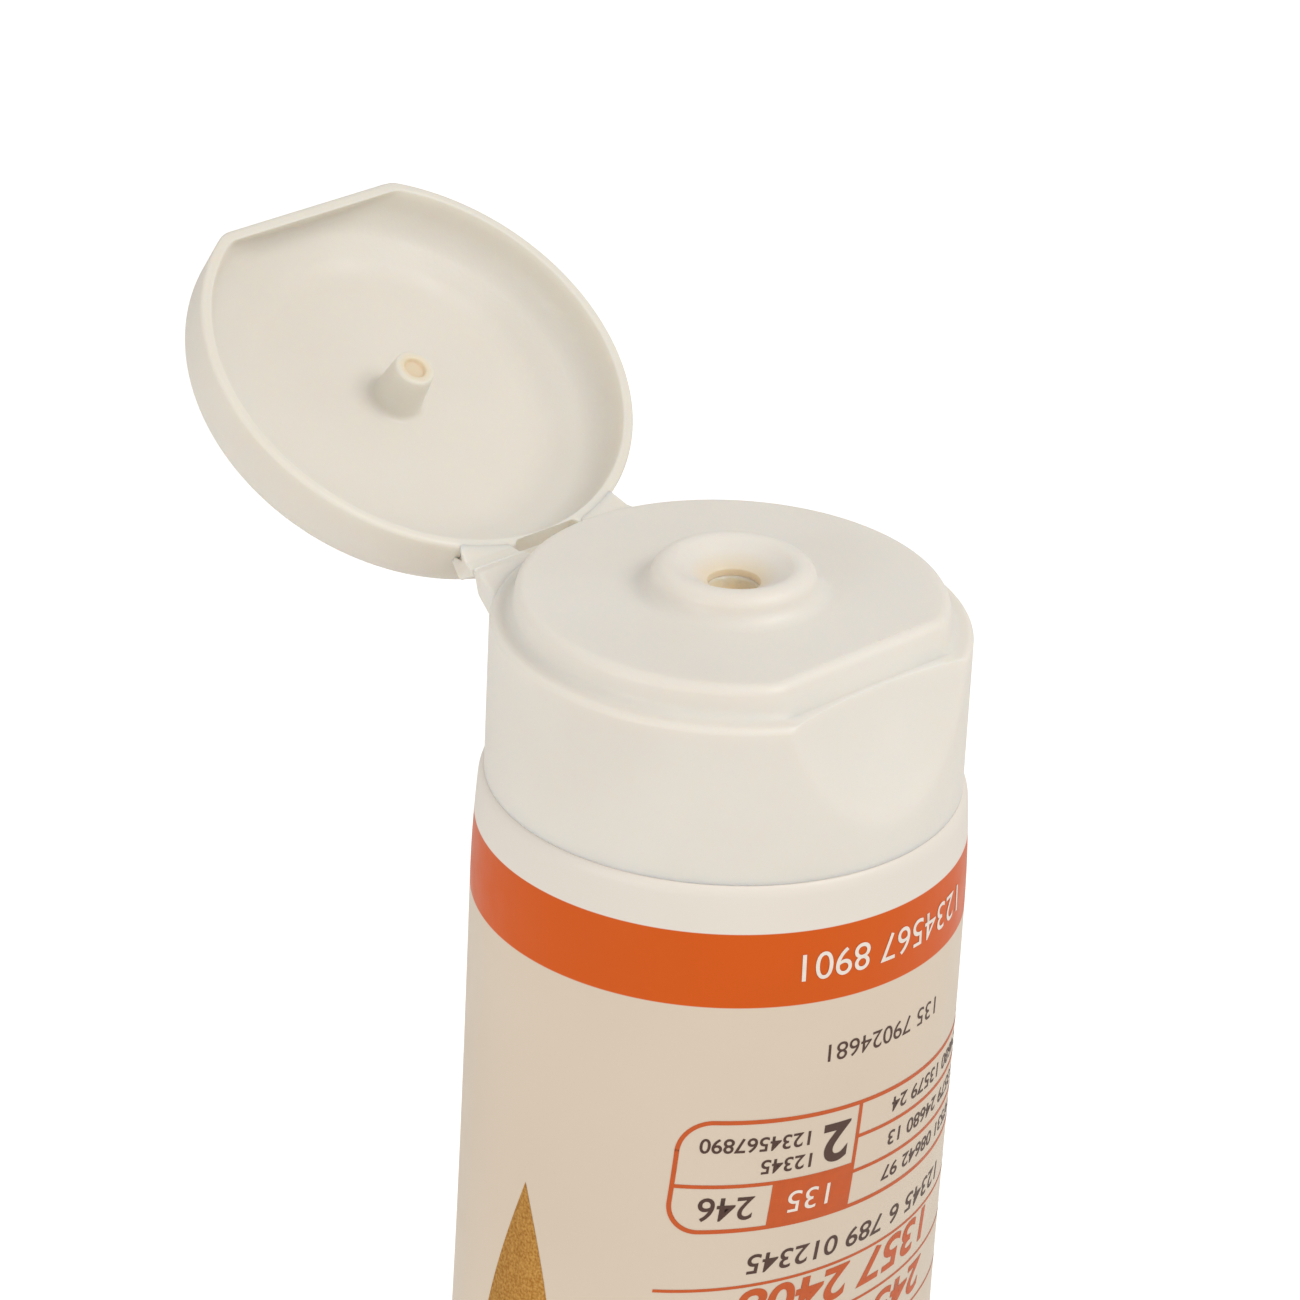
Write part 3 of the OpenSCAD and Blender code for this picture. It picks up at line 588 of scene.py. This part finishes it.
def cap_shell():
    """The cap's base: its closed half profile turned round, then cut by the thumb recess and
    the plateau's front flat, y = soft_max(y, floor). Inside, the same cuts lie one wall in."""
    foot, lip = spout_points()
    inner_r = CAP_R - CAP_WALL
    outside = rounded_path([(inner_r, -CAP_H, 0),
                            (CAP_R, -CAP_H, SKIRT_EDGE),
                            (CAP_R, 0, CAP_EDGE),
                            (PLATEAU_R, 0, PLATEAU_FOOT),
                            (PLATEAU_TOP_R, PLATEAU_H, PLATEAU_EDGE),
                            (foot[0, 0], PLATEAU_H, 0)], *CAP_STEPS)
    bore = rounded_path([(*lip[-1], 0),
                         (ORIFICE_R, ORIFICE_TOP, ORIFICE_IN_EDGE),
                         (ORIFICE_R, ORIFICE_END, ORIFICE_OUT_EDGE),
                         (PLUG_IN_R, CEILING_H, 0),
                         (PLUG_IN_R + PLUG_DRAFT, PLUG_END_H, 0)], *BORE_STEPS)
    inside = rounded_path([(PLUG_OUT_R - PLUG_DRAFT, PLUG_END_H, 0),
                           (PLUG_OUT_R, CEILING_H, 0),
                           (SHOULDER_R, CEILING_H, SHOULDER_ROUND),
                           (inner_r, SKIRT_H, SKIRT_ROUND),
                           (inner_r, -CAP_H, 0)], *CAP_INSIDE_STEPS)[:-1]
    profile = along(outside, foot[1:], lip, bore[1:], inside)
    from_inside = np.arange(len(profile)) >= len(profile) - len(inside)
    wall = (CAP_WALL * from_inside)[:, None]
    grid = revolve(profile, cap_angles())
    x, y, h = grid[..., 0], grid[..., 1], profile[:, 1][:, None]
    near = y < 0
    recess = recess_floor(x, np.minimum(h, RECESS_TOP)) + wall
    y = np.where(near, soft_max(y, recess, RECESS_EDGE), y)
    flat = plateau_floor(np.maximum(h, 0)) + wall
    y = np.where(near & (h > SLACK), soft_max(y, flat, FRONT_EDGE), y)
    grid[..., 1] = strap_pocket(x, y, h)
    grid[..., 2] += LEDGE_Z
    # cream has stained the funnel's throat, least at its upper end
    r = np.hypot(grid[..., 0], grid[..., 1])
    stain = THROAT_STAIN * np.clip((THROAT_R - r) / (THROAT_R - ORIFICE_R), 0, 1) * (h > 0)
    return surface("cap_shell", grid, cap_plastic, wrap_rows=True, stain=stain)


# Lid

def lid_shell():
    """The lid: outside from the middle of its top over the round edge to the rim, inside up the
    wall, along the ceiling and down and up the hollow pin. The leaning front flat cuts both,
    y = soft_max(y, -(front + lean h) + wall)."""
    rim_middle = (CAP_R - CAP_WALL / 2, RIM_GAP, 0)
    outside = rounded_path([(0, LID_H, 0),
                            (CAP_R, LID_H, LID_EDGE),
                            (CAP_R, RIM_GAP, RIM_EDGE),
                            rim_middle], *LID_STEPS)
    inside = rounded_path([rim_middle,
                           (LID_RIM_R, RIM_GAP, LID_RIM_ROUND),
                           (LID_DISH_R, LID_DISH_H, LID_DISH_EDGE),
                           (LID_FLOOR_R, LID_CEILING, LID_DISH_EDGE),
                           (PIN_ROOT_R, LID_CEILING, PIN_FILLET),
                           (PIN_TIP_R, PIN_TIP_H, PIN_TIP_ROUND),
                           (PIN_BORE_R, PIN_TIP_H, PIN_BORE_ROUND),
                           (PIN_BORE_R - PIN_BORE_DRAFT, PIN_FLOOR_H, PIN_BORE_ROUND),
                           (0, PIN_FLOOR_H, 0)], *DISH_STEPS)[1:]
    profile = along(outside, inside)
    r, h = profile[:, 0], profile[:, 1]
    wall = LID_FRONT_WALL * (np.arange(len(profile)) >= len(outside))
    # across the rim the cut moves in from the outside to the inside
    on_rim = (np.abs(h - RIM_GAP) < RIM_REACH) & (r > LID_RIM_R - SLACK)
    across = np.clip((CAP_R - r) / (CAP_R - LID_RIM_R), 0, 1)
    wall = np.where(on_rim, across * LID_FRONT_WALL, wall)[:, None]
    # cream has stained the pin's hollow tip
    stain = PIN_STAIN * np.clip(2 * (1 - r / PIN_TIP_R), 0, 1) * (h < PIN_FLOOR_H + PIN_STAIN_H)
    grid = revolve(profile, full_turn(LID_COLUMNS))
    x, y, h = grid[..., 0], grid[..., 1], h[:, None]
    flat = wall - (LID_FRONT + LID_LEAN * h)
    y = np.where(y < 0, soft_max(y, flat, LID_FRONT_EDGE), y)
    grid[..., 1] = strap_pocket(x, y, h)
    grid[..., 2] += LEDGE_Z
    stain = np.repeat(stain[:, None], LID_COLUMNS, 1)
    return surface("lid_shell", opened(grid), lid_plastic, stain=stain)


# Hinge

def wing_grid(outline, side, slant):
    """A wing along X with the given (y, h) outline, from WING_IN out to
    WING_OUT + slant (hinge line - y). Towards each end the section shrinks about its middle by
    edge (1 - sin a) while x has edge (1 - cos a) left to go, which rounds the ends. No point
    lies further in than the middle of the wall, y = sqrt(R^2 - x^2)."""
    ring = rounded_path(outline, *WING_STEPS, closed=True)
    middle = ring.mean(0)
    size = np.abs(ring - middle).max()
    a = np.linspace(0, np.pi / 2, WING_END_ROWS)
    shrunk = 1 - WING_EDGE / size * (1 - np.sin(a))
    from_end = WING_EDGE * (1 - np.cos(a))
    beyond = np.full(WING_ROWS + WING_END_ROWS, WING_EDGE)
    ends = np.ones(WING_END_ROWS)
    scale = np.concatenate([shrunk, np.ones(WING_ROWS), shrunk[::-1]])[:, None]
    start = WING_IN + np.concatenate([from_end, beyond])[:, None]
    rest = np.concatenate([beyond, from_end[::-1]])[:, None]
    share = np.concatenate([0 * ends, np.linspace(0, 1, WING_ROWS), ends])[:, None]
    y = middle[0] + (ring[:, 0] - middle[0]) * scale
    h = middle[1] + (ring[:, 1] - middle[1]) * scale
    outer = WING_OUT + slant * (HINGE_Y - y)
    x = start + (outer - rest - start) * share
    y = np.maximum(y, np.sqrt((CAP_R - CAP_WALL / 2) ** 2 - x ** 2))
    grid = np.stack([side * x, y, LEDGE_Z + h], -1)
    caps = [np.repeat(grid[[k]].mean(1, keepdims=True), len(ring), 1) for k in (0, -1)]
    return np.concatenate([caps[0], grid, caps[1]])


def hinge_wings():
    """Two pairs of wings that meet along the hinge line beside the strap, with their bodies."""
    pieces = []
    for side, word in ((-1, "left"), (1, "right")):
        grid = wing_grid(BASE_WING, side, BASE_WING_SLANT)
        pieces.append((surface("base_wing_" + word, grid, cap_plastic), "container"))
        grid = opened(wing_grid(LID_WING, side, LID_WING_SLANT))
        pieces.append((surface("lid_wing_" + word, grid, lid_plastic), "lid"))
    return pieces


# Print

def stroke(path, width):
    """A line of the given width along a path of (u, d) points, as a grid of (u, d) with points
    along its two edges and its middle."""
    path = np.asarray(path, float)
    way = np.gradient(path, axis=0)
    way /= np.hypot(way[:, 0], way[:, 1])[:, None]
    side = np.stack([-way[:, 1], way[:, 0]], -1)
    t = np.array([-0.5, 0, 0.5])[None, :, None]
    return path[:, None] + side[:, None] * width * t


def rule(start, end, width):
    """A straight printed line, with points close enough together to bend round the sleeve."""
    return stroke(rounded_path([(*start, 0), (*end, 0)], LINE_STEP, LINE_STEP), width)


def numbers(text, u, d, height, bold):
    """Plain numbers as flat shapes centred on (u, d), cut into strips STRIP wide so that they
    bend round the sleeve. They stand on their heads here, so that they read with the tail up."""
    curve = bpy.data.curves.new("numbers", "FONT")
    curve.body = text
    curve.size = height / DIGIT_SHARE
    curve.offset = bold
    curve.align_x = "CENTER"
    sign = bpy.data.objects.new("numbers", curve)
    mesh = bpy.data.meshes.new_from_object(sign)
    work = bmesh.new()
    work.from_mesh(mesh)
    half = max(abs(v.co.x) for v in work.verts)
    for x in np.arange(-half, half, STRIP):
        everything = work.verts[:] + work.edges[:] + work.faces[:]
        bmesh.ops.bisect_plane(work, geom=everything, plane_co=(x, 0, 0), plane_no=(1, 0, 0))
    bmesh.ops.triangulate(work, faces=work.faces[:])
    work.to_mesh(mesh)
    work.free()
    flat = np.zeros(len(mesh.vertices) * 3)
    mesh.vertices.foreach_get("co", flat)
    corners = np.zeros(len(mesh.polygons) * 3, int)
    mesh.loops.foreach_get("vertex_index", corners)
    flat = flat.reshape(-1, 3)
    bpy.data.objects.remove(sign)
    bpy.data.curves.remove(curve)
    bpy.data.meshes.remove(mesh)
    return np.stack([u - flat[:, 0], d + flat[:, 1] - height / 2], -1), corners.reshape(-1, 3)


def print_piece(name, shapes, material, lift=INK_LIFT):
    """Ink shapes laid on the sleeve: each is a grid of (u, d), or points (u, d) and triangles.
    The sum of its faces' normals times their places, across the axis, tells which way they look."""
    points, faces, count = [], [], 0
    for shape in shapes:
        if isinstance(shape, tuple):
            flat, corners = shape
        else:
            flat = shape.reshape(-1, 2)
            corners = grid_faces(*shape.shape[:2], False, False)
        place = on_sleeve(flat[:, 0], flat[:, 1], lift)
        a, b, c = (place[corners[:, k]] for k in (0, 1, 2))
        outward = (np.cross(b - a, c - a) * a * [1, 1, 0]).sum()
        corners = corners if outward > 0 else corners[:, ::-1]
        points.append(place)
        faces += (corners + count).tolist()
        count += len(flat)
    return mesh_object(name, np.concatenate(points), faces, material)


def ruled_box():
    """The box of the label, its inner lines and its orange cell."""
    left, right = -BOX_HALF_W, BOX_HALF_W
    corners = [(left, BOX_TOP), (right, BOX_TOP), (right, BOX_BOTTOM), (left, BOX_BOTTOM)]
    edge = rounded_path([(u, d, BOX_ROUND) for u, d in corners], *BOX_STEPS, closed=True)
    shapes = [stroke(np.concatenate([edge, edge[:2]]), BOX_LINE),
              rule((CELL_RIGHT, BOX_TOP), (CELL_RIGHT, BOX_BOTTOM), CELL_LINE),
              rule((left, CELL_TOP), (CELL_RIGHT, CELL_TOP), CELL_LINE)]
    shapes += [rule((CELL_RIGHT, d), (right, d), CELL_LINE) for d in CELL_LINES]
    u = np.linspace(CELL_LEFT, CELL_RIGHT, CELL_POINTS[0])[:, None]
    d = np.linspace(CELL_TOP, BOX_BOTTOM, CELL_POINTS[1])[None, :]
    return shapes + [np.stack(np.broadcast_arrays(u, d), -1)]


def gold_leaf(side):
    """A leaf down the sleeve's side: along s its middle drifts to the front, and its half width
    is W sin(pi s)."""
    s = np.linspace(0, 1, LEAF_POINTS[0])[:, None]
    t = np.linspace(-1, 1, LEAF_POINTS[1])[None, :]
    u = side * (LEAF_U - LEAF_DRIFT * s) + LEAF_HALF_W * np.sin(np.pi * s) * t
    return np.stack([u, LEAF_TOP + LEAF_LENGTH * s + 0 * t], -1)


def label_print():
    """A plain label that reads with the tail up: rows of numbers where print goes, a ruled box of
    cells, and a gold leaf at each side. White ink lies over the orange of the box's cell."""
    orange = ruled_box()
    orange += [numbers(*row) for row in ORANGE_ROWS]
    orange += [rule((-BOX_HALF_W, d), (BOX_HALF_W, d), RULE_LINE) for d in RULES]
    orange += [rule((-FOOT_RULE_HALF_W, FOOT_RULE), (FOOT_RULE_HALF_W, FOOT_RULE), CELL_LINE)]
    brown = [numbers(*row) for row in BROWN_ROWS]
    white = [numbers(*row) for row in WHITE_ROWS]
    gold = [gold_leaf(side) for side in (-1, 1)]
    return [print_piece("print_orange", orange, ink_orange),
            print_piece("print_brown", brown, ink_brown),
            print_piece("print_white", white, ink_white, INK_ROOM),
            print_piece("print_gold", gold, foil)]


# Cream

def cream_in_neck():
    """Thick cream that keeps the print of the lid's pin: a cup in the orifice whose floor and
    wall lie just outside the pin's place in the shut lid. The half profile is turned round."""
    cup = rounded_path([(0, CREAM_TOP, 0),
                        (PRINT_FLOOR_R, CREAM_TOP, PRINT_FLOOR_ROUND),
                        (PRINT_WALL_R, PRINT_WALL_H, PRINT_WALL_ROUND),
                        (ORIFICE_R + CREAM_RIM_GRIP, CREAM_RIM_H, CREAM_RIM_ROUND),
                        (ORIFICE_R + CREAM_END_GRIP, ORIFICE_END, CREAM_END_ROUND),
                        (CREAM_R, CREAM_TOP, CREAM_EDGE),
                        (CREAM_R, CREAM_FOOT, CREAM_EDGE),
                        (0, CREAM_FOOT, 0)], *CREAM_STEPS)
    grid = revolve(cup, full_turn(CREAM_COLUMNS))
    grid[..., 2] += LEDGE_Z
    return surface("cream_in_neck", grid, cream)


# Assembly

def fitted(piece, body):
    """Says what a piece rides on."""
    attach(piece, body)


def standing_in(piece, body, node):
    """Says what a piece rides on, which of the part's solids it replaces."""
    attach(piece, body)
    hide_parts(node)


def assemble():
    """Makes every piece, and gives the solids that stay in sight their materials."""
    standing_in(sleeve_skin(), "container", "tube_sleeve")
    standing_in(tail_weld(), "container", "tail_seal")
    standing_in(cap_shell(), "container", "cap_base")
    standing_in(lid_shell(), "lid", "lid")
    for wing, body in hinge_wings():
        fitted(wing, body)
    for piece in label_print():
        fitted(piece, "container")
    fitted(cream_in_neck(), "container")
    for node, material in (("tube_head", head_plastic), ("hinge_strap", lid_plastic)):
        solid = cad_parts[node].data
        for k in range(len(solid.materials)):
            solid.materials[k] = material


# Studio

def turned_to(right, up, back):
    """The turn that brings X, Y and Z onto the three given directions."""
    return Matrix(np.stack([right, up, back], 1).tolist())


def white_room():
    """An even white world, brighter to the camera than as light."""
    world = bpy.data.worlds.new("even_white_room")
    bpy.context.scene.world = world
    world.use_nodes = True
    tree = world.node_tree
    tree.nodes.clear()
    seen = add(tree, "ShaderNodeLightPath").outputs["Is Camera Ray"]
    level = add(tree, "ShaderNodeMapRange", {"Value": seen, "To Min": WORLD_LIGHT, "To Max": WORLD_SEEN})
    light = add(tree, "ShaderNodeBackground", {"Color": linear("#FFFFFF"), "Strength": level.outputs[0]})
    add(tree, "ShaderNodeOutputWorld", {"Surface": light.outputs[0]})


def matt_paper():
    """Matt white paper with a glow that only the camera sees, so that it looks white but keeps
    the object's shadow."""
    material = bpy.data.materials.new("matt_white_paper")
    material.use_nodes = True
    tree = material.node_tree
    shader = tree.nodes["Principled BSDF"]
    shader.inputs["Base Color"].default_value = linear("#EDEBE8")
    shader.inputs["Roughness"].default_value = 0.9
    seen = add(tree, "ShaderNodeLightPath").outputs["Is Camera Ray"]
    glow = add(tree, "ShaderNodeEmission", {"Color": linear("#FFFFFF"), "Strength": PAPER_GLOW})
    dark = add(tree, "ShaderNodeEmission", {"Strength": 0.0})
    shown = add(tree, "ShaderNodeMixShader", {0: seen, 1: dark.outputs[0], 2: glow.outputs[0]})
    both = add(tree, "ShaderNodeAddShader", {0: shader.outputs[0], 1: shown.outputs[0]})
    tree.links.new(both.outputs[0], tree.nodes["Material Output"].inputs["Surface"])
    return material


def paper_floor():
    """The floor, a flat square under the tail."""
    mesh = bpy.data.meshes.new("floor")
    corners = [(x * PAPER_HALF, y * PAPER_HALF, 0) for x, y in ((-1, -1), (1, -1), (1, 1), (-1, 1))]
    mesh.from_pydata(corners, [], [(0, 1, 2, 3)])
    mesh.materials.append(matt_paper())
    floor = bpy.data.objects.new("floor", mesh)
    bpy.context.scene.collection.objects.link(floor)


def soft_lamps():
    """Two large round lamps that look at the upper part of the tube."""
    aim = np.array(LAMP_AIM) * MM
    for name, place, width, power in LAMPS:
        light = bpy.data.lights.new(name, "AREA")
        light.shape = "DISK"
        light.size = width
        light.energy = power
        lamp = bpy.data.objects.new(name, light)
        spot = np.array(place) * MM
        back = (spot - aim) / np.linalg.norm(spot - aim)
        right = np.cross([0, 0, 1], back)
        right /= np.linalg.norm(right)
        lamp.location = spot
        lamp.rotation_euler = turned_to(right, np.cross(back, right), back).to_euler()
        bpy.context.scene.collection.objects.link(lamp)


def photo_camera():
    """The photograph's camera, with a long lens: its directions come from the turn and the rise,
    and are then rolled about the line of sight."""
    a, e, roll = (math.radians(v) for v in (CAMERA_TURN, CAMERA_RISE, CAMERA_ROLL))
    back = np.array([math.sin(a) * math.cos(e), -math.cos(a) * math.cos(e), math.sin(e)])
    level = np.array([math.cos(a), math.sin(a), 0])
    upright = np.cross(back, level)
    right = level * math.cos(roll) + upright * math.sin(roll)
    up = upright * math.cos(roll) - level * math.sin(roll)
    place = back * CAMERA_BACK - right * CAMERA_LEFT - up * CAMERA_DOWN + [0, 0, LEDGE_Z]
    data = bpy.data.cameras.new("camera")
    data.sensor_width = SENSOR_W
    data.lens = FOCAL_PIXELS / FRAME_PIXELS * SENSOR_W
    data.clip_start = NEAREST
    data.clip_end = FARTHEST
    camera = bpy.data.objects.new("camera", data)
    matrix = turned_to(right, up, back).to_4x4()
    matrix.translation = place * MM
    camera.matrix_world = matrix
    bpy.context.scene.collection.objects.link(camera)
    bpy.context.scene.camera = camera


bpy.context.scene.view_settings.view_transform = "Standard"
photo_camera()
assemble()
white_room()
paper_floor()
soft_lamps()
